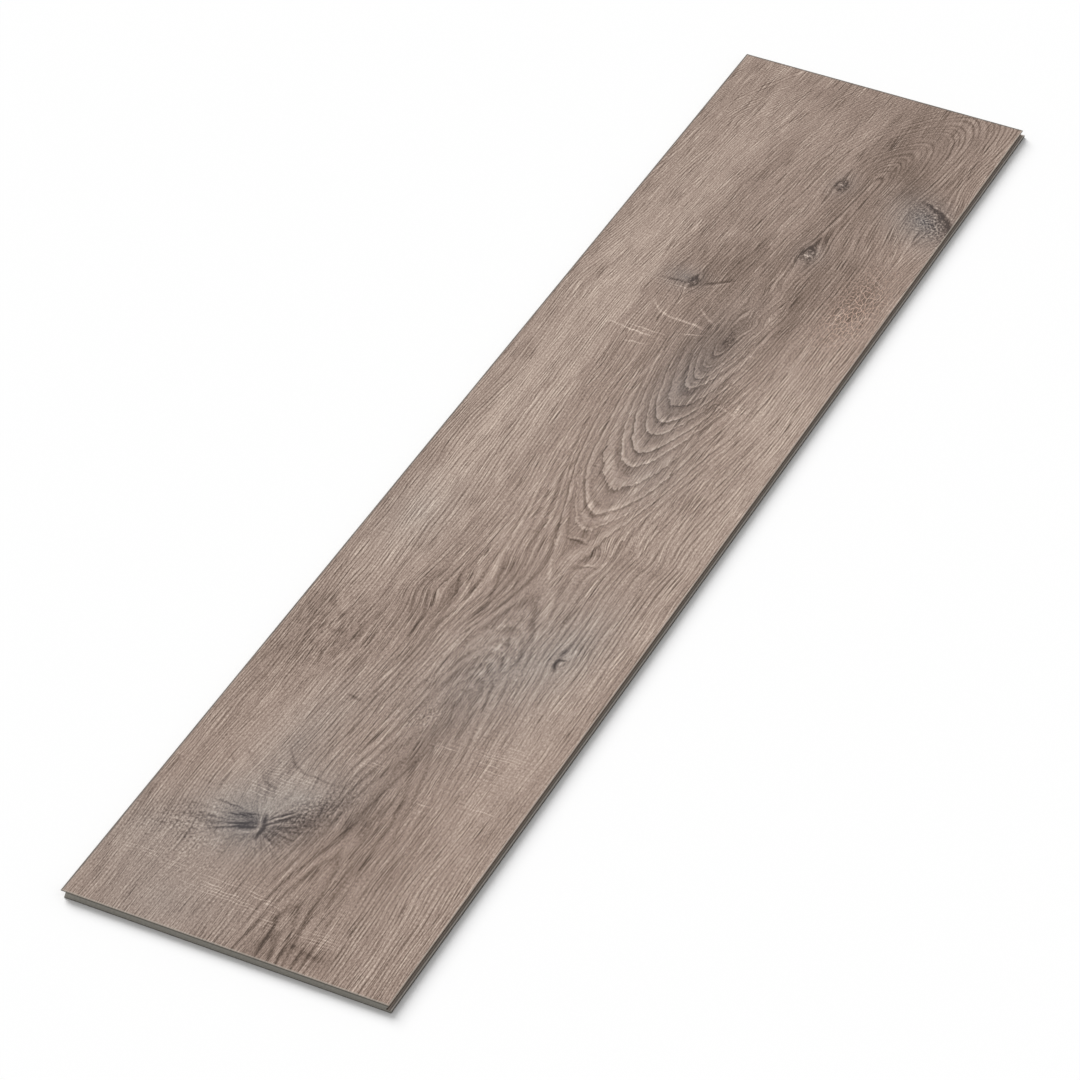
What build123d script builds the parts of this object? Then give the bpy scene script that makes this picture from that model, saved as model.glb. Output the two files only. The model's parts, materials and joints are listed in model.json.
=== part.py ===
"""Vinyl floor plank with a tongue on one long edge and a groove on the other.

Millimetres, +Z up.  X runs along the plank and Y across it: the tongue is on the +Y edge and
the groove on the -Y edge.  The origin is on the underside, at the centre of the overall box.
"""

import os

from build123d import *

# Face and thickness
face_length = 914.4
face_width = 196.85
thickness = 5.2
face_bevel = 0.35

# Groove edge
face_edge = 0.85      # square edge left under the face, above the groove and the tongue
groove_depth = 1.6    # how far the groove runs in behind the face edge
groove_wall = 0.7     # height of the groove's back wall
floor_height = 1.5    # floor of the groove above the underside
lip_reach = 1.5       # how far the lower lip stands out past the face edge
lock_rise = 0.35      # height of the locking ridge above the groove floor
lock_top = 0.35       # flat on top of the locking ridge
lock_slope = 0.35     # run of each flank of the locking ridge
foot_chamfer = 0.25   # broken lower corner of the lip and of the tongue's heel

# Tongue edge
fit_clearance = 0.12  # gap left all round between a tongue and the groove it enters
trim_length = 8.0     # length of tongue milled away at each end of the plank
trim_root = 3.0       # how far the milled end runs in, just under the face
trim_foot = 1.8       # how far the milled end runs in, at the underside

# The overall width runs from the tongue's tip to the lip's end, and the box is centred on it
tongue_reach = groove_depth - fit_clearance
face_shift = (lip_reach - tongue_reach) / 2
groove_face = face_shift - face_width / 2
tongue_face = face_shift + face_width / 2

# Heights that the groove and the tongue share
flank_top = thickness - face_edge
wall_top = floor_height + groove_wall
ridge_top = floor_height + lock_rise


def groove_point(out, height):
    """A point of the groove edge, measured outwards from the face edge."""
    return (groove_face - out, height)


def tongue_point(out, height):
    """A point of the tongue edge, measured outwards from the face edge."""
    return (tongue_face + out, height)


# Locking ridge, from its inner foot to its outer one, on the end of the lower lip
ridge_outer_foot = lip_reach
ridge_outer = ridge_outer_foot - lock_slope
ridge_inner = ridge_outer - lock_top
ridge_inner_foot = ridge_inner - lock_slope

# Socket in the tongue's underside that drops over the ridge
socket_ceiling = ridge_top + fit_clearance
socket_inner = ridge_inner_foot - fit_clearance
socket_slope_end = ridge_inner - fit_clearance
heel = lip_reach + fit_clearance
tongue_floor = floor_height + fit_clearance

groove_edge = [
    groove_point(0, thickness),
    groove_point(0, flank_top),
    groove_point(-groove_depth, wall_top),
    groove_point(-groove_depth, floor_height),
    groove_point(ridge_inner_foot, floor_height),
    groove_point(ridge_inner, ridge_top),
    groove_point(ridge_outer, ridge_top),
    groove_point(ridge_outer_foot, floor_height),
    groove_point(lip_reach, foot_chamfer),
    groove_point(lip_reach - foot_chamfer, 0),
]

tongue_edge = [
    tongue_point(-heel - foot_chamfer, 0),
    tongue_point(-heel, foot_chamfer),
    tongue_point(-heel, socket_ceiling),
    tongue_point(-socket_slope_end, socket_ceiling),
    tongue_point(-socket_inner, tongue_floor),
    tongue_point(tongue_reach, tongue_floor),
    tongue_point(tongue_reach, wall_top - fit_clearance),
    tongue_point(0, flank_top - fit_clearance),
    tongue_point(0, thickness),
]

milled_end = [
    tongue_point(-trim_root, flank_top),
    tongue_point(-trim_foot, 0),
    tongue_point(tongue_reach, 0),
    tongue_point(tongue_reach, flank_top),
]

with BuildPart() as plank:
    # One section, drawn looking along X, carries both locking edges
    with BuildSketch(Plane.YZ) as section:
        with BuildLine():
            Polyline(*groove_edge, *tongue_edge, close=True)
        make_face()
    extrude(amount=face_length / 2, both=True)

    # The tongue is milled away at both ends
    for end in (-1, 1):
        milling_plane = Plane.YZ.offset(end * (face_length - trim_length) / 2)
        with BuildSketch(milling_plane) as milling:
            with BuildLine():
                Polyline(*milled_end, close=True)
            make_face()
        extrude(amount=trim_length / 2, both=True, mode=Mode.SUBTRACT)

    # All four edges of the face are broken
    face = plank.faces().filter_by(Axis.Z).sort_by(Axis.Z)[-1]
    chamfer(face.edges(), length=face_bevel)

plank.part.label = "plank"

os.makedirs("parts", exist_ok=True)
export_step(plank.part, "parts/plank.step")
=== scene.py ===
"""A vinyl floor plank on a pale studio floor: printed oak face, plain grey core, soft light from behind."""

import json
import math

import bmesh
import bpy
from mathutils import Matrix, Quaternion, Vector


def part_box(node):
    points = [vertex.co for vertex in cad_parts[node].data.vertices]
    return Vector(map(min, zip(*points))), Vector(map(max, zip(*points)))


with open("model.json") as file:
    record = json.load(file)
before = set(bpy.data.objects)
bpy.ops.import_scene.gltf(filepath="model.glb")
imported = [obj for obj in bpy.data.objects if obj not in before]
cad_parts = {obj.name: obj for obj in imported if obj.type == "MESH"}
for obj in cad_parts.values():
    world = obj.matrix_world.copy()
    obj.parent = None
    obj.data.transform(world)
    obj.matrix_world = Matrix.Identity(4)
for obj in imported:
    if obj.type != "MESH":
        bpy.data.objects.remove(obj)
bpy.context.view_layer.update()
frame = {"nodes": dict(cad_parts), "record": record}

MM = 0.001
plank = frame["nodes"]["plank"]
plank_low, plank_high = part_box("plank")
mount_at = {mount["name"]: Vector(mount["pos_m"]) for mount in frame["record"]["mounts"]}

# The face, in millimetres: along runs from the near end, across from the tongue edge
NEAR_END = plank_low.x / MM
TONGUE_EDGE = mount_at["tongue_edge"].y / MM
GROOVE_EDGE = mount_at["groove_edge"].y / MM
FACE_LENGTH = (plank_high.x - plank_low.x) / MM
FACE_WIDTH = TONGUE_EDGE - GROOVE_EDGE
THICKNESS = plank_high.z / MM

# How far the print runs down over the broken edges of the face, and the milled part in from the groove edge
PRINT_DEPTH = 0.42
GROOVE_DEPTH = 1.7

# Camera
CAMERA_AZIMUTH = -155.466
CAMERA_ELEVATION = 38.819
CAMERA_DISTANCE = 2.8962
CAMERA_ROLL = 1.605
CAMERA_TARGET = Vector((-0.07143, -0.00152, plank_high.z))
CAMERA_LENS = 165.42
SENSOR = 36.0

# Light and floor: what is seen goes to the camera, and the rest lights the plank
SKY_STRENGTH = 0.44
SKY_SEEN = 1.0
PANEL_AZIMUTH = 54.0
PANEL_ELEVATION = 32.0
PANEL_SPREAD = 34.0
PANEL_STRENGTH = 3.3
FLOOR_SIZE = 8.0
FLOOR_GAP = 0.1 * MM
FLOOR_SEEN = 1.0
FLOOR_BOUNCE = 0.8

# Surface of the plank
ROUGHNESS = 0.7
SPECULAR = 0.15
RELIEF_STRENGTH = 0.25
RELIEF_HEIGHT = 0.3 * MM

# The top of the scale of screen levels
SCREEN_WHITE = 255

# Sockets of a Mix node that is set to colours
MIX_FACTOR = 0
MIX_FIRST = 6
MIX_SECOND = 7
MIX_RESULT = 2

# How far a spot reaches, for each unit of its half sizes
SPOT_REACH = 2.4

# Half the length of a stroke's full part, as a share of the distance between its ends
STROKE_FULLNESS = 0.42

# What a stroke's levels are multiplied by, because its tone falls off fast from its middle line
STROKE_GAIN = 1.6


def srgb(red, green, blue):
    """A colour given as 0 to 255 screen levels, as the linear colour that a shader takes."""
    def linear(level):
        level = level / SCREEN_WHITE
        return level / 12.92 if level <= 0.04045 else ((level + 0.055) / 1.055) ** 2.4
    return (linear(red), linear(green), linear(blue), 1.0)


def grey(level):
    """A grey of the given linear level."""
    return (level, level, level, 1.0)


class Socket:
    """An output of a finish's nodes, with Python's operators for shader maths."""

    def __init__(self, finish, output):
        self.finish = finish
        self.output = output

    def math(self, operation, *values):
        return self.finish.math(operation, self, *values)

    def also(self, name):
        """Another output of the same node."""
        return Socket(self.finish, self.output.node.outputs[name])

    def __add__(self, other):
        return self.math("ADD", other)

    def __sub__(self, other):
        return self.math("SUBTRACT", other)

    def __rsub__(self, other):
        return self.finish.math("SUBTRACT", other, self)

    def __mul__(self, other):
        return self.math("MULTIPLY", other)

    def __truediv__(self, other):
        return self.math("DIVIDE", other)

    def __rtruediv__(self, other):
        return self.finish.math("DIVIDE", other, self)

    def __pow__(self, other):
        return self.math("POWER", other)

    def __rpow__(self, other):
        return self.finish.math("POWER", other, self)

    __radd__ = __add__
    __rmul__ = __mul__


class Finish:
    """The nodes of a material or of the world."""

    def __init__(self, block):
        block.use_nodes = True
        self.tree = block.node_tree
        self.tree.nodes.clear()

    def node(self, kind, settings=None, sockets=None, output=0):
        """Adds a node: its settings are set first, then the values or links of its sockets."""
        made = self.tree.nodes.new(kind)
        for name, value in (settings or {}).items():
            if name == "stops":
                self.set_stops(made.color_ramp, value)
            elif name == "mapping":
                for part, setting in value.items():
                    setattr(made.texture_mapping, part, setting)
            else:
                setattr(made, name, value)
        for name, value in (sockets or {}).items():
            if isinstance(value, Socket):
                self.tree.links.new(value.output, made.inputs[name])
            else:
                made.inputs[name].default_value = value
        return Socket(self, made.outputs[output]) if made.outputs else None

    def set_stops(self, ramp, stops):
        while len(ramp.elements) < len(stops):
            ramp.elements.new(1.0)
        for element, (place, colour) in zip(ramp.elements, stops):
            element.position = place
            element.color = colour

    def math(self, operation, *values):
        return self.node("ShaderNodeMath", {"operation": operation}, dict(enumerate(values)))

    def vector(self, x, y, z=0.0):
        return self.node("ShaderNodeCombineXYZ", None, {"X": x, "Y": y, "Z": z})

    def vector_math(self, operation, *values, output=0):
        return self.node("ShaderNodeVectorMath", {"operation": operation}, dict(enumerate(values)), output)

    def noise(self, place, size, seed, detail=2.0, rough=0.5):
        """Smooth noise from 0 to 1 on the face, with features of about the given size."""
        scale = (1 / size[0], 1 / size[1], 0)
        moved = self.vector_math("MULTIPLY_ADD", place, scale, (seed * 31.7, seed * 17.3, 0))
        sockets = {"Vector": moved, "Scale": 1.0, "Detail": detail, "Roughness": rough}
        return self.node("ShaderNodeTexNoise", {"noise_dimensions": "2D"}, sockets)

    def swing(self, place, size, amount, seed, detail=2.0, rough=0.5):
        """Noise about zero: most of it lies within a quarter of the amount each way."""
        return self.math("MULTIPLY_ADD", self.noise(place, size, seed, detail, rough), amount, -amount / 2)

    def step(self, value, low, high):
        """0 below low, 1 above high and a smooth rise between them."""
        sockets = {"Value": value, "From Min": low, "From Max": high}
        return self.node("ShaderNodeMapRange", {"interpolation_type": "SMOOTHSTEP"}, sockets)

    def offset(self, place, at, turn, size):
        """Distance from a point, measured along a turned line, in units of the size."""
        right, down = math.cos(math.radians(turn)) / size, math.sin(math.radians(turn)) / size
        row = (right, down, -at[0] * right - at[1] * down)
        return self.vector_math("DOT_PRODUCT", place, row, output="Value")

    def bell(self, first, second=0.0):
        """1 where both offsets are zero, falling off smoothly over the unit distance."""
        squared = self.math("MULTIPLY_ADD", second, second, first * first)
        return (1 / math.e) ** squared

    def oval(self, place, at, long, wide, turn=0.0):
        """A soft oval mark, turned clockwise as the face is seen with its near end on the left."""
        return self.bell(self.offset(place, at, turn, long), self.offset(place, at, turn + 90, wide))

    def spot(self, place, at, long, wide, turn=0.0):
        """A mark like an oval that takes less work, for where its peak may be sharp."""
        mapping = {
            "vector_type": "TEXTURE",
            "translation": (*at, 1),
            "rotation": (0, 0, math.radians(turn)),
            "scale": (long * SPOT_REACH, wide * SPOT_REACH, 1),
        }
        return self.node(
            "ShaderNodeTexGradient",
            {"gradient_type": "QUADRATIC_SPHERE", "mapping": mapping},
            {"Vector": place},
            output="Fac",
        )

    def marks(self, place, rows):
        """The sum of soft spots. A row: along, across, half length, half width, turn, strength."""
        total = 0.0
        for along, across, long, wide, turn, strength in rows:
            mark = self.spot(place, (along, across), long, wide, turn)
            total = self.math("MULTIPLY_ADD", mark, strength, total)
        return total

    def strokes(self, place, rows):
        """The sum of tapering strokes. A row: along and across of both ends, half width, strength."""
        ovals = []
        for start_along, start_across, end_along, end_across, wide, strength in rows:
            run, drop = end_along - start_along, end_across - start_across
            middle = (start_along + run / 2, start_across + drop / 2)
            turn = math.degrees(math.atan2(drop, run))
            ovals.append((*middle, math.hypot(run, drop) * STROKE_FULLNESS, wide, turn, strength))
        return self.marks(place, ovals)

    def mix(self, factor, first, second):
        """A mix of two colours."""
        sockets = {MIX_FACTOR: factor, MIX_FIRST: first, MIX_SECOND: second}
        return self.node("ShaderNodeMix", {"data_type": "RGBA"}, sockets, output=MIX_RESULT)

    def ramp(self, value, *stops):
        return self.node("ShaderNodeValToRGB", {"stops": stops}, {"Fac": value})

    def shades(self, level, *stops):
        """The colour of a screen level, between the colours given for some levels."""
        shares = [(stop / SCREEN_WHITE, colour) for stop, colour in stops]
        return self.ramp(level / SCREEN_WHITE, *shares)

    def seen(self):
        """1 for what the camera sees, directly or as a reflection, and 0 for light on other things."""
        path = self.node("ShaderNodeLightPath", output="Is Camera Ray")
        mirrored = path.also("Is Glossy Ray").math("MAXIMUM", path.also("Is Transmission Ray"))
        return path.math("MAXIMUM", mirrored)

    def place(self):
        """The point on the plank in millimetres: along, across and height."""
        point = self.node("ShaderNodeTexCoord", output="Object")
        parts = self.node("ShaderNodeSeparateXYZ", None, {0: point})
        along = parts.also("X") / MM - NEAR_END
        across = TONGUE_EDGE - parts.also("Y") / MM
        return along, across, parts.also("Z") / MM


# The face's figure, in millimetres along from the near end and across from the tongue edge
EYE_ALONG = 613.0
HEART_ACROSS = 119.0
KNOT_HEART = (93, 71)
CURL = ((655, 124), 30, 16)

# Growth rings: their width, the fine lines for each of them, and how pointed their arches are
RING_WIDTH = 3.7
FINE_LINES = 1.6
ARCH_POINT = 1.65
ARCH_REACH = 90

# How far the rings' heart drifts across, for each millimetre past the eye and past the far place
EYE_DRIFT = 0.08
FAR_DRIFT = 0.3
FAR_DRIFT_ALONG = 845

# How fast the rings' arches rise along the plank: from the eye, in the middle, at the near and far ends
EYE_SLOPE = 0.29
MIDDLE_SLOPE = 0.18
NEAR_SLOPE = 0.06
FAR_SLOPE = 0.36
FAR_ARCH_ALONG = 812

# The faint arch: its centre, the size of its rings, and where it shows
FAINT_CENTRE = (200, 122)
FAINT_RING = (12, 2.8)
FAINT_PATCH = ((278, 123), 42, 20)

# Pores and glints of the grain: their length and width, and the noise between which they fade in
PORE_SIZE = (24, 0.55)
PORE_LIMITS = (0.58, 0.66)

# The patch of short dark flecks, and the net of fine light lines with its cells
FLECK_PATCH = ((254, 26), 40, 22)
CRACKLE_PATCH = ((676, 177), 42, 14)
CRACKLE_CELL = (6.2, 2.3)
CRACKLE_TINT = 0.6

# The face's middle tone and the depths of the print's layers, in screen levels
BASE_LEVEL = 138.5
RING_DEPTH = 66
FAINT_DEPTH = 70
BAND_DEPTH = 22
STREAK_DEPTH = 15
FIBRE_DEPTH = 50
GLINT_DEPTH = 24
PORE_DEPTH = 36
SPECKLE_DEPTH = 62
FLECK_DEPTH = 44
GRIT_DEPTH = 90
SAW_DEPTH = 62
CRACKLE_DEPTH = 66
WRINKLE_DEPTH = 140

# Where the strands part round a knot: along, across, half length, half width, how strongly
PARTINGS = (
    (110, 70, 34, 26, 0.45),
    (788, 180, 42, 24, 0.8),
    (722, 126.5, 18, 9, 0.9),
    (801, 116, 16, 8, 0.9),
    (662, 74, 15, 9, 0.8),
    (292, 158, 14, 6, 0.8),
    (395, 118, 12, 8, 0.6),
)

# Where the strands rise towards the tongue edge: along, across, half length, half width, rise
FLAMES = (
    (316, 62, 15, 13, 6),
    (338, 65, 24, 14, 5),
    (374, 68, 38, 15, 3),
    (290, 70, 26, 12, 3),
    (344, 101, 34, 12, -5),
    (74, 50, 36, 18, -6),
    (110, 114, 22, 6, -3),
    (383, 138, 12, 8, -4),
    (396, 166, 15, 24, -3),
    (88, 166, 30, 14, 4),
    (960, 60, 140, 60, -14),
)

# Broad changes of tone: along, across, half length, half width, turn, screen levels
SHADES = (
    (91, 58, 9, 12, 15, -24),
    (94, 66, 6, 7, 0, -28),
    (99, 86, 20, 10, 38, -44),
    (122, 98, 20, 8, 18, -26),
    (84, 32, 12, 24, -10, -19),
    (40, 14, 60, 9, 0, 10),
    (98, 148, 34, 12, 0, -10),
    (294, 112, 30, 12, 0, 9),
    (330, 46, 40, 10, 0, 6),
    (216, 112, 12, 6, 36, 9),
    (785, 192, 14, 7, -36, -16),
    (129, 84, 14, 11, 10, 6),
    (180, 46, 54, 16, 3, 11),
    (12, 116, 36, 6, 0, -18),
    (11, 138, 10, 18, -15, -24),
    (165, 118, 70, 6, 5, -15),
    (110, 126, 130, 18, 0, -15),
    (256, 120, 46, 12, 8, -4),
    (234, 18, 28, 10, 0, -13),
    (272, 14, 16, 7, 0, -14),
    (262, 42, 26, 9, 0, -14),
    (305, 64, 46, 11, -6, -25),
    (326, 99, 40, 6, 0, -15),
    (480, 27, 220, 14, -1, 29),
    (540, 48, 170, 8, -2, 21),
    (420, 78, 80, 7, -6, 17),
    (760, 33, 110, 12, 2, 12),
    (852, 62, 26, 22, 0, 6),
    (664, 72, 11, 10, 0, -22),
    (690, 90, 30, 17, 40, -24),
    (584, 106, 62, 16, -6, -26),
    (612, 121, 22, 8, 0, -20),
    (619, 111, 14, 8, 0, -18),
    (546, 130, 20, 12, 20, -22),
    (664, 140, 40, 9, -5, -17),
    (770, 130, 130, 24, 2, -20),
    (610, 84, 110, 18, 0, -7),
    (790, 72, 70, 14, 0, -8),
    (840, 182, 30, 14, 0, -8),
    (680, 180, 30, 12, 0, -10),
    (692, 170, 44, 20, 0, -36),
    (788, 184, 24, 13, -36, -34),
    (824, 156, 30, 14, -42, -23),
    (868, 130, 60, 10, 5, -16),
    (885, 158, 50, 24, 0, -11),
    (894, 76, 16, 40, 0, -13),
    (200, 174, 150, 24, 0, 15),
    (500, 188, 190, 16, 0, 20),
    (414, 152, 26, 26, 0, 10),
    (548, 170, 34, 12, 0, 14),
    (388, 154, 6, 40, 0, -10),
    (66, 94, 32, 8, 0, -8),
    (748, 186, 22, 11, 0, 6),
)

# Where the print turns from brown to grey: along, across, half length, half width, turn, strength
GREYS = (
    (92, 60, 20, 24, 30, 0.85),
    (18, 52, 44, 44, 0, 0.4),
    (122, 82, 32, 24, 35, 0.75),
    (70, 18, 30, 30, 0, 0.35),
    (165, 58, 50, 16, 5, 0.4),
    (268, 130, 64, 32, 12, 0.6),
    (300, 158, 30, 14, 10, 0.45),
    (378, 25, 30, 16, 0, 0.3),
    (560, 113, 62, 18, 0, 0.55),
    (470, 132, 34, 18, 0, 0.25),
    (664, 68, 10, 12, 0, 0.6),
    (722, 128, 12, 8, 0, 0.4),
    (802, 117, 12, 8, 0, 0.35),
    (788, 178, 24, 16, -36, 1.0),
)

# Where the rings show sharply, besides the pointed arches: the same columns
SHARP = (
    (314, 74, 66, 25, 0, 0.9),
    (815, 96, 110, 30, 0, 0.8),
    (872, 140, 40, 24, 0, 0.36),
)

# Where the rings fade out: along, across, half length, half width, turn, strength
QUIET = (
    (230, 124, 110, 20, 0, 0.85),
    (110, 70, 36, 28, 30, 1.0),
    (786, 180, 28, 16, -36, 1.0),
    (658, 124, 26, 14, 0, 0.7),
    (190, 172, 76, 28, 0, 0.8),
    (60, 143, 60, 9, 0, 0.6),
    (36, 50, 58, 40, 0, 0.75),
    (872, 146, 36, 18, 0, 0.6),
    (180, 45, 50, 18, 0, 0.4),
)

# Where the straight grain fades, at the knots and in calm places: the same columns
CALM = (
    (84, 36, 20, 20, 0, 0.6),
    (96, 66, 16, 14, 0, 0.8),
    (124, 80, 24, 18, 20, 0.85),
    (788, 182, 22, 12, -36, 1.0),
    (36, 52, 58, 40, 0, 0.5),
    (170, 40, 60, 30, 0, 0.4),
    (200, 174, 80, 26, 0, 0.4),
)

# Fine grit, as on the bark side of a branch: along, across, half length, half width, turn, strength
GRITS = (
    (78, 33, 26, 15, 60, 1.6),
    (110, 93, 28, 11, 22, 1.4),
    (122, 91, 18, 9, 25, 0.9),
    (54, 45, 18, 11, 30, 0.9),
    (788, 184, 22, 11, -36, 3.5),
    (612, 119, 22, 9, 0, 0.7),
    (653, 70, 5, 15, 0, 0.7),
    (216, 112, 14, 6, 36, 1.7),
)

# Wrinkles that spread from the large knot: along, across, half length, half width, turn, strength
FANS = (
    (85, 46, 24, 13, 68, 1.0),
    (105, 86, 22, 12, 46, 1.0),
    (130, 62, 24, 14, -15, 0.7),
    (80, 84, 12, 10, 0, 0.7),
)

# Saw marks across the grain, and the distance between two of them
SAW_PITCH = 2.3

# Patches of saw marks: along, across, half length, half width, turn, strength
HATCHES = (
    (38, 76, 9, 18, 0, 1.0),
    (38, 101, 9, 10, 0, 0.8),
    (27, 112, 6, 5, 0, 1.0),
    (27, 142, 6, 12, 0, 1.0),
    (48, 32, 4, 22, 0, 0.6),
    (119, 59, 6, 11, 0, 0.9),
    (135, 65, 7, 12, 0, 1.0),
    (146, 143, 4, 7, 0, 0.8),
    (166, 103, 4, 6, 0, 0.9),
    (195, 134, 4, 6, 0, 0.9),
    (158, 176, 3, 11, 0, 0.8),
    (196, 168, 15, 21, 0, 0.8),
    (603, 60, 6, 14, 0, 0.5),
    (852, 50, 7, 13, 0, 0.5),
    (654, 68, 4, 16, 0, 0.8),
    (680, 177, 30, 10, 0, 0.5),
)

# Light scratches: along and across of both ends, half width, screen levels
SCRATCHES = (
    (600.5, 44, 597, 79, 0.6, 42),
    (603.5, 57, 602.5, 79, 0.6, 34),
    (586.5, 61, 589, 75, 0.6, 34),
    (634, 60, 625, 67, 0.7, 28),
    (626, 66, 621.5, 76, 0.8, 34),
    (621.8, 73, 620.5, 92, 0.8, 36),
    (620.8, 88, 618, 102, 0.8, 36),
    (628, 68, 624, 78, 0.6, 14),
    (608, 91, 613, 103, 0.6, 40),
    (638, 90, 630, 98, 0.7, 26),
    (631, 96, 626.5, 105, 0.7, 30),
    (552, 137, 547, 152, 0.6, 20),
    (557.5, 147, 555, 162, 0.6, 20),
    (553, 146, 552, 161, 0.6, 16),
    (606, 133, 606, 142, 0.9, 18),
    (592, 137, 591.5, 143, 0.9, 14),
    (706, 188, 720, 168, 0.7, 18),
    (83, 63, 87.5, 71.5, 0.8, 30),
    (86, 71.5, 94, 70.8, 1.0, 32),
    (93, 70.8, 102, 68, 0.8, 24),
    (97, 73.5, 112, 85.5, 0.5, 46),
    (94, 75, 106, 87, 0.6, 34),
    (91, 54, 94, 64, 0.5, 30),
    (82, 72, 76, 77, 0.6, 24),
    (116, 103, 150, 111, 0.7, 18),
    (288, 68.5, 309, 64.5, 0.7, 14),
    (307, 65, 334, 60, 0.7, 18),
    (308, 72, 323, 64.5, 0.7, 16),
    (311, 75.5, 323, 70.5, 0.9, 9),
    (322, 80, 346, 75.5, 0.8, 16),
    (324, 94, 350, 89, 0.8, 14),
    (353, 121, 376, 112, 0.8, 20),
    (372, 113, 417, 104, 0.8, 18),
    (353, 122, 371, 128, 0.7, 14),
    (661, 85, 673, 98, 0.7, 26),
    (288.5, 158.7, 292, 158.2, 0.6, 30),
    (296, 161.5, 300, 160.5, 0.8, 26),
    (300, 162, 306, 161, 0.8, 28),
    (397, 112, 397, 127, 0.8, 22),
    (374, 127, 379, 141, 0.8, 18),
    (379, 142, 388, 144.5, 0.8, 14),
    (796, 195, 804, 186, 0.8, 24),
    (803, 187, 810, 172, 0.8, 22),
    (40, 111, 36.5, 114, 0.9, 24),
)

# Dark cracks and streaks: along and across of both ends, half width, screen levels
CRACKS = (
    (79, 46, 86, 61, 0.7, -20),
    (84, 56, 90, 68, 0.8, -54),
    (84, 48, 90, 61, 0.7, -18),
    (88, 57, 93, 67, 0.8, -52),
    (89, 50, 94, 64, 0.5, -36),
    (95, 52, 98, 66, 0.8, -44),
    (98, 57, 100.5, 67, 0.8, -46),
    (88, 62, 91, 70, 0.9, -48),
    (82, 73, 93, 73.8, 0.9, -62),
    (92, 74, 103, 69.5, 0.9, -62),
    (101.5, 39, 101, 57, 0.6, -40),
    (96, 75, 111.5, 87.5, 0.6, -60),
    (100, 73.5, 113, 85.5, 0.6, -58),
    (87, 75, 83, 88, 0.6, -30),
    (91, 77, 90, 93, 0.6, -28),
    (80, 74, 72, 80, 0.6, -22),
    (140.5, 94, 141.5, 71, 0.8, -24),
    (141, 74, 147, 63, 0.8, -24),
    (145.5, 65, 158, 56, 0.8, -20),
    (124, 63, 126.5, 56, 0.7, -22),
    (126, 57, 131.5, 52, 0.7, -20),
    (133, 34.5, 139, 28.5, 0.7, -18),
    (141, 41, 146.5, 33.5, 0.7, -14),
    (112.5, 22, 112.5, 35, 0.7, -14),
    (290, 62.8, 310, 57, 0.8, -22),
    (307, 57.6, 329, 56, 0.8, -26),
    (270, 72, 299, 68.3, 0.8, -22),
    (296, 69, 321, 61.5, 0.8, -26),
    (318, 61.8, 343, 62.6, 0.8, -20),
    (303, 79.5, 322, 77, 0.9, -22),
    (320, 78, 338, 71.8, 0.8, -26),
    (297, 96, 324, 98, 0.9, -20),
    (321, 98.2, 365, 89.5, 0.9, -24),
    (311, 105, 334, 107, 0.9, -22),
    (331, 107.2, 356, 102.5, 0.9, -24),
    (658.3, 55, 659, 71, 0.9, -44),
    (661.5, 81, 668, 89, 1.0, -38),
    (667, 88, 674.5, 97, 1.0, -36),
    (212.4, 63, 211, 72.5, 0.9, -34),
    (283, 158, 289, 155.8, 0.8, -54),
    (287, 155.6, 294, 156.8, 0.9, -58),
    (292.5, 156, 294, 161, 0.9, -54),
    (287, 160, 292, 161, 0.6, -36),
    (296, 155, 304, 157.5, 1.2, -30),
    (394.5, 112, 394.5, 126, 0.8, -36),
    (371, 127, 378, 142, 0.8, -22),
    (386, 132, 389.5, 141, 0.8, -16),
    (780, 198.5, 795, 192, 1.9, -50),
    (791, 193.5, 804, 182, 2.1, -54),
    (801, 185, 808, 171, 1.3, -48),
    (731, 126.8, 746, 126.3, 0.8, -24),
    (706, 131, 717, 130, 1.1, -18),
    (-4, 117, 26, 115, 0.9, -46),
    (20, 115.5, 38, 112.5, 0.9, -34),
    (-4, 129, 24, 128.5, 0.9, -24),
    (18, 128.7, 60, 127, 0.9, -22),
    (82, 110.5, 105, 112.5, 0.8, -18),
    (101, 112, 119, 117, 0.8, -32),
    (120, 115.5, 163, 120.5, 0.8, -20),
    (155, 119.5, 198, 126.5, 0.7, -18),
    (15.5, 131, 18.5, 132, 1.0, -38),
    (16, 133, 13.5, 152, 1.8, -22),
)

# Small knots: along, across, half length, half width, turn, depth in screen levels
PIN_KNOTS = (
    (722, 126.5, 8.5, 5.2, -5, 58),
    (801.5, 116, 7.0, 4.6, 0, 50),
    (662.3, 74.5, 4.8, 3.6, 10, 44),
    (613, 120.5, 6.0, 3.4, 0, 26),
)


def bend_strands(finish, place, across):
    """Distance across the strands of the wood, in millimetres: its contours are the lines of the grain."""
    bent = across + finish.swing(place, (190, 55), 8, 1.7, detail=1)
    bent = bent + finish.swing(place, (55, 13), 2.6, 4.1, detail=1)
    for at, over, long, wide, rise in FLAMES:
        bent = bent + finish.oval(place, (at, over), long, wide) * rise
    for at, over, long, wide, push in PARTINGS:
        bent = bent - finish.oval(place, (at, over), long, wide) * (across - over) * push
    curl = finish.oval(place, *CURL)
    return bent + curl * finish.swing(place, (22, 8), 9, 6.4, detail=1)


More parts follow.
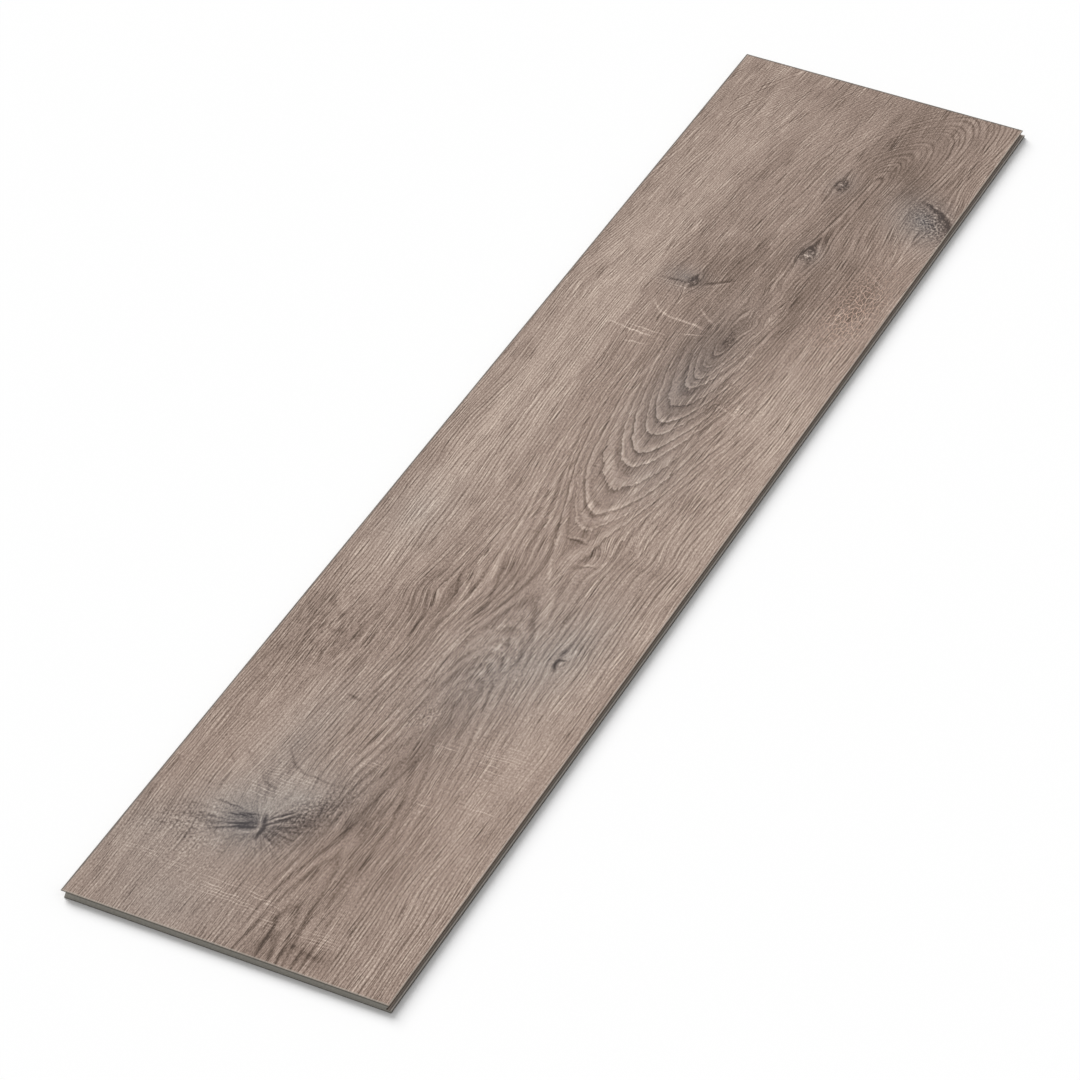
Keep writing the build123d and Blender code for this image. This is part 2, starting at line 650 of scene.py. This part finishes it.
def ring_radius(finish, along, strand):
    """Distance across from the rings' heart, and the radius of the ring at each point."""
    past_eye = (along - EYE_ALONG).math("SMOOTH_MAX", 0.0, 40.0)
    past_far = (along - FAR_DRIFT_ALONG).math("SMOOTH_MAX", 0.0, 30.0)
    heart = strand - HEART_ACROSS - past_eye * EYE_DRIFT - past_far * FAR_DRIFT
    before_eye = EYE_ALONG - along
    climb = (before_eye * EYE_SLOPE).math("SMOOTH_MIN", before_eye * MIDDLE_SLOPE + 8, 8.0)
    plateau = along * NEAR_SLOPE + 25
    far_arch = (along - FAR_ARCH_ALONG) * FAR_SLOPE
    height = climb.math("SMOOTH_MIN", plateau, 16.0)
    height = height.math("SMOOTH_MAX", far_arch, 8.0).math("SMOOTH_MAX", 1.5, 4.0)
    height = height * finish.bell(heart / ARCH_REACH)
    spread = (heart * heart + 4.0) ** 0.5
    return heart, (spread ** ARCH_POINT + height ** ARCH_POINT) ** (1 / ARCH_POINT)


def growth_rings(finish, along, place, line, strand):
    """Tone of the growth rings about zero: each is light outside and darkens towards the heart."""
    heart, radius = ring_radius(finish, along, strand)
    outer = (radius - 42).math("SMOOTH_MAX", 0.0, 10.0)
    count = radius * (1 / RING_WIDTH + 0.03 * finish.step(along, 600, 800)) + outer * 0.09
    jag = finish.swing(line, (10, 1.0), 0.26, 2.2, detail=1)
    uneven = finish.swing(finish.vector(radius, along), (8, 160), 1.4, 8.0, detail=1)
    ragged = finish.swing(place, (8, 6), 0.28, 10.7, detail=1)
    phase = (0.38 - count - jag - uneven - ragged).math("FRACT")
    light_line = (1 - phase / 0.3).math("MAXIMUM", 0.0)
    sharp = 0.18 + light_line * 0.36 - phase * phase * 0.45 - phase ** 6 * 0.4
    fine_phase = ((count + uneven) * FINE_LINES + jag).math("FRACT")
    soft = 0.25 - finish.bell((fine_phase - 0.5) / 0.19) * 0.9
    arches = finish.bell((along - 500) / 140, heart / 46) * finish.step(along, 335, 400)
    strong = (arches + finish.marks(place, SHARP)).math("MINIMUM", 1.0)
    broken = finish.step(finish.noise(line, (45, 3), 21.3, detail=1), 0.3, 0.65)
    crowded = finish.step(finish.noise(line, (130, 16), 22.9, detail=1), 0.35, 0.65)
    shown = (1 - finish.marks(place, QUIET)).math("MAXIMUM", 0.0)
    weak = (0.18 + 0.36 * crowded + 0.48 * broken) * (1 - strong * 0.7) * shown
    return sharp * strong + soft * weak


def faint_arch(finish, along, across, place, line):
    """Tone of the faint arch that opens towards the near end."""
    first = (along - FAINT_CENTRE[0]) / FAINT_RING[0]
    second = (across - FAINT_CENTRE[1]) / FAINT_RING[1]
    count = (first * first + second * second) ** 0.5
    phase = (count + finish.swing(line, (7, 0.9), 1.4, 23.1, detail=1)).math("FRACT")
    return (0.5 - phase) * finish.spot(place, *FAINT_PATCH)


def large_knot(finish, place):
    """Wrinkles that spread from the large knot's heart."""
    along = finish.offset(place, KNOT_HEART, 0, 1)
    across = finish.offset(place, KNOT_HEART, 90, 1)
    angle = across.math("ARCTAN2", along)
    distance = (along * along + across * across) ** 0.5
    wrinkles = finish.swing(finish.vector(angle, distance), (0.11, 15), 1.0, 25.7, detail=2)
    return wrinkles * finish.marks(place, FANS)


def pin_knots(finish, place):
    """Dark eyes with a lighter rim and light specks."""
    specks = finish.step(finish.noise(place, (2.0, 1.5), 27.9, detail=1), 0.5, 0.66)
    total = 0.0
    for along, across, long, wide, turn, depth in PIN_KNOTS:
        first = finish.offset(place, (along, across), turn, long)
        second = finish.offset(place, (along, across), turn + 90, wide)
        eye = finish.bell(first, second)
        distance = (first * first + second * second) ** 0.5
        rim = finish.bell((distance - 0.75) / 0.28)
        total = eye * (specks * 1.5 - 0.75) * depth - rim * depth * 0.55 + total
    return total


def grain_threads(finish, line):
    """Tone of the fibres along the strands, with light glints and dark pores, in screen levels."""
    fibres = finish.swing(line, (60, 0.72), FIBRE_DEPTH, 7.7, detail=1, rough=0.6)
    pores = finish.step(finish.noise(line, PORE_SIZE, 9.2, detail=1), *PORE_LIMITS)
    crowding = finish.step(finish.noise(line, (50, 7), 11.4, detail=1), 0.3, 0.65)
    glints = finish.step(finish.noise(line, PORE_SIZE, 13.9, detail=1), *PORE_LIMITS)
    light = (fibres + glints * GLINT_DEPTH) * (0.62 + crowding * 0.62)
    return light - pores * (0.35 + crowding) * PORE_DEPTH


def saw_marks(finish, along, place):
    """Broken light lines across the grain."""
    wave = along * (math.tau / SAW_PITCH) + finish.swing(place, (16, 8), 5.0, 29.3, detail=0)
    cut = finish.step(finish.noise(place, (2.4, 20), 30.6, detail=0), 0.34, 0.6)
    return finish.step(wave.math("SINE"), 0.5, 0.98) * cut * finish.marks(place, HATCHES)


def crackle_net(finish, place):
    """A patch of fine light lines that meet in a net."""
    cells = finish.vector_math("MULTIPLY", place, (1 / CRACKLE_CELL[0], 1 / CRACKLE_CELL[1], 0))
    settings = {"voronoi_dimensions": "2D", "feature": "DISTANCE_TO_EDGE"}
    from_line = finish.node("ShaderNodeTexVoronoi", settings, {"Vector": cells, "Scale": 1.0})
    return (1 - finish.step(from_line, 0.02, 0.1)) * finish.spot(place, *CRACKLE_PATCH)


def printed_oak(finish, along, across):
    """Colour and relief of the printed face."""
    place = finish.vector(along, across, 1.0)
    strand = bend_strands(finish, place, across)
    line = finish.vector(along, strand)
    rings = growth_rings(finish, along, place, line, strand)
    arch = faint_arch(finish, along, across, place, line)
    crackle = crackle_net(finish, place)

    bands = finish.swing(line, (260, 12), BAND_DEPTH, 3.1, detail=1)
    streaks = finish.swing(line, (110, 2.2), STREAK_DEPTH, 5.3, detail=1)
    speckle = finish.swing(place, (1.8, 0.6), SPECKLE_DEPTH, 15.1, detail=0)
    flecks = finish.step(finish.noise(line, (10, 1.7), 17.3, detail=1), 0.5, 0.6)
    flecks = flecks * finish.spot(place, *FLECK_PATCH)
    grit = finish.swing(place, (1.7, 1.4), GRIT_DEPTH, 19.7, detail=1) * finish.marks(place, GRITS)
    grain = 1 - finish.marks(place, CALM).math("MINIMUM", 1.0)
    sway = finish.swing(place, (6, 6), 3.0, 31.3)
    wavy = finish.vector_math("ADD", place, finish.vector(sway, 0.0, 0.0))
    strokes = finish.strokes(wavy, SCRATCHES) + finish.strokes(wavy, CRACKS)

    level = BASE_LEVEL + rings * RING_DEPTH + arch * FAINT_DEPTH + bands + streaks + speckle
    level = level - flecks * FLECK_DEPTH + grit + grain_threads(finish, line) * grain
    level = level + saw_marks(finish, along, place) * SAW_DEPTH + crackle * CRACKLE_DEPTH
    level = level + finish.marks(place, SHADES) + large_knot(finish, place) * WRINKLE_DEPTH
    level = level + pin_knots(finish, place) + strokes * STROKE_GAIN

    warm = finish.shades(
        level,
        (60, srgb(69, 54, 44)),
        (100, srgb(112, 94, 82)),
        (143, srgb(156, 136, 124)),
        (180, srgb(193, 174, 160)),
        (220, srgb(231, 214, 198)),
    )
    cold = finish.shades(
        level,
        (60, srgb(62, 57, 58)),
        (100, srgb(104, 97, 95)),
        (143, srgb(150, 141, 134)),
        (180, srgb(186, 178, 169)),
        (220, srgb(224, 217, 209)),
    )
    greyness = finish.marks(place, GREYS).math("MINIMUM", 1.0)
    colour = finish.mix(greyness, warm, cold)
    colour = finish.mix(crackle * CRACKLE_TINT, colour, srgb(206, 168, 148))
    relief = finish.swing(place, (16, 0.9), 1.0, 33.7, detail=1)
    return colour, relief


def painted_rim_light_and_shade(finish, along, across, colour):
    """The face's colour with painted shade along the rims at the tongue edge and far end, and a painted
    highlight along the rims at the other two.
    """
    tongue_rim = 1 - finish.step(across, 0.8, 1.5)
    far_rim = finish.step(along, FACE_LENGTH - 1.9, FACE_LENGTH - 1.0)
    groove_rim = finish.step(across, FACE_WIDTH - 0.8, FACE_WIDTH - 0.4)
    near_rim = 1 - finish.step(along, 0.4, 0.8)
    # Painted shade on the tongue and far rims, and a painted highlight on the groove and near rims
    painted_rim_shade = finish.math("MAXIMUM", tongue_rim, far_rim) * 0.75
    light = finish.math("MAXIMUM", groove_rim, near_rim) * 0.55
    # Dark grey for the painted shade, pale beige for the painted highlight
    colour = finish.mix(painted_rim_shade, colour, srgb(96, 94, 90))
    return finish.mix(light, colour, srgb(214, 203, 190))


def painted_groove_light(finish, across, height):
    """Colour of the groove, painted for how light falls in it: its floor painted lighter than its lip to
    make up for its shade, painted shade on the flank, in the depth and on the foot, and a painted highlight
    on the ridge.
    """
    lip = finish.step(across, FACE_WIDTH - 0.4, FACE_WIDTH + 0.3)
    # Painted highlight on the lip's ridge
    ridge_highlight = finish.step(height, 1.6, 1.8) * (1 - finish.step(height, 2.0, 2.2))
    # Painted shade on the lip's outer face, low down by the floor
    foot_shade = finish.step(across, FACE_WIDTH + 1.4, FACE_WIDTH + 1.5)
    # Painted shade deep in the groove, and on the flank just under the face
    deep_shade = 1 - finish.step(across, FACE_WIDTH - 1.5, FACE_WIDTH - 0.5)
    flank_shade = finish.step(height, THICKNESS - 1.2, THICKNESS - 0.9)
    # The painted shade's colour
    dark = srgb(112, 98, 88)
    # The groove's floor painted lighter than its lip, to make up for its shade
    colour = finish.mix(lip, srgb(190, 178, 168), srgb(150, 143, 136))
    colour = finish.mix(deep_shade, colour, dark)
    colour = finish.mix(flank_shade, colour, dark)
    # The ridge's painted highlight, then the foot's painted shade
    colour = finish.mix(lip * ridge_highlight, colour, srgb(206, 199, 191))
    return finish.mix(foot_shade, colour, srgb(96, 91, 85))


def bare_core(finish, along, across, height):
    """Colour of the core, with painted shade along the top and bottom of its edges, and the groove's
    painted light and shade on one of them.
    """
    fine_place = finish.vector(along / 1.6, across / 1.6, height / 0.5)
    grit = finish.node("ShaderNodeTexNoise", None, {"Vector": fine_place, "Scale": 1.0, "Detail": 3.0})
    colour = finish.ramp(grit, (0.25, srgb(139, 135, 127)), (0.75, srgb(168, 164, 155)))
    # Painted shade: a dark band low on the core's edges by the floor, and one just under the face
    painted_floor_shade = finish.bell(height / 0.55) * finish.step(height, 0.01, 0.05)
    painted_shade_under_face = finish.bell((height - THICKNESS + 0.75) / 0.5)
    colour = finish.mix((painted_floor_shade + painted_shade_under_face) * 0.7, colour, srgb(62, 60, 56))
    in_groove = finish.math("GREATER_THAN", across, FACE_WIDTH - GROOVE_DEPTH)
    past_end = finish.math("GREATER_THAN", along, 0.05)
    return finish.mix(in_groove * past_end, colour, painted_groove_light(finish, across, height))


def plank_finish():
    """The print on the face and its broken edges, and the bare core everywhere else."""
    material = bpy.data.materials.new("plank_vinyl")
    finish = Finish(material)
    along, across, height = finish.place()
    printed, relief = printed_oak(finish, along, across)
    # Painted shade and a painted highlight along the face's rims
    printed = painted_rim_light_and_shade(finish, along, across, printed)
    on_face = finish.math("GREATER_THAN", height, THICKNESS - PRINT_DEPTH)
    bump = finish.node("ShaderNodeBump", None, {
        "Strength": RELIEF_STRENGTH,
        "Distance": RELIEF_HEIGHT,
        "Height": relief * on_face,
    })
    surface = finish.node("ShaderNodeBsdfPrincipled", None, {
        "Base Color": finish.mix(on_face, bare_core(finish, along, across, height), printed),
        "Roughness": ROUGHNESS,
        "Specular IOR Level": SPECULAR,
        "Normal": bump,
    })
    finish.node("ShaderNodeOutputMaterial", None, {"Surface": surface})
    return material


def floor_finish():
    """White to the camera, a little darker to the light that it throws back."""
    material = bpy.data.materials.new("studio_floor")
    finish = Finish(material)
    colour = finish.mix(finish.seen(), grey(FLOOR_BOUNCE), grey(FLOOR_SEEN))
    surface = finish.node("ShaderNodeBsdfDiffuse", None, {"Color": colour})
    finish.node("ShaderNodeOutputMaterial", None, {"Surface": surface})
    return material


def make_floor():
    mesh = bpy.data.meshes.new("studio_floor")
    sheet = bmesh.new()
    bmesh.ops.create_grid(sheet, x_segments=1, y_segments=1, size=FLOOR_SIZE / 2)
    bmesh.ops.translate(sheet, verts=sheet.verts, vec=(0, 0, -FLOOR_GAP))
    sheet.to_mesh(mesh)
    sheet.free()
    floor = bpy.data.objects.new("studio_floor", mesh)
    bpy.context.scene.collection.objects.link(floor)
    mesh.materials.append(floor_finish())


def direction(azimuth, elevation):
    """Unit vector towards a place in the sky."""
    turn, lift = math.radians(azimuth), math.radians(elevation)
    return Vector((math.cos(turn) * math.cos(lift), math.sin(turn) * math.cos(lift), math.sin(lift)))


def make_camera():
    data = bpy.data.cameras.new("camera")
    data.sensor_width = SENSOR
    data.lens = CAMERA_LENS
    camera = bpy.data.objects.new("camera", data)
    towards = direction(CAMERA_AZIMUTH, CAMERA_ELEVATION)
    camera.location = CAMERA_TARGET + towards * CAMERA_DISTANCE
    upright = (-towards).to_track_quat("-Z", "Y")
    camera.rotation_mode = "QUATERNION"
    camera.rotation_quaternion = upright @ Quaternion((0, 0, 1), math.radians(CAMERA_ROLL))
    bpy.context.scene.collection.objects.link(camera)
    bpy.context.scene.camera = camera


def make_light():
    data = bpy.data.lights.new("panel", "SUN")
    data.energy = PANEL_STRENGTH
    data.angle = math.radians(PANEL_SPREAD)
    panel = bpy.data.objects.new("panel", data)
    panel.rotation_mode = "QUATERNION"
    panel.rotation_quaternion = (-direction(PANEL_AZIMUTH, PANEL_ELEVATION)).to_track_quat("-Z", "Y")
    bpy.context.scene.collection.objects.link(panel)


def make_sky():
    """White to the camera, and a soft even light for the plank."""
    world = bpy.data.worlds.new("studio")
    finish = Finish(world)
    colour = finish.mix(finish.seen(), grey(SKY_STRENGTH), grey(SKY_SEEN))
    surface = finish.node("ShaderNodeBackground", None, {"Color": colour, "Strength": 1.0})
    finish.node("ShaderNodeOutputWorld", None, {"Surface": surface})
    bpy.context.scene.world = world


bpy.context.scene.view_settings.view_transform = "Standard"
plank.data.materials.clear()
plank.data.materials.append(plank_finish())
make_floor()
make_light()
make_sky()
make_camera()
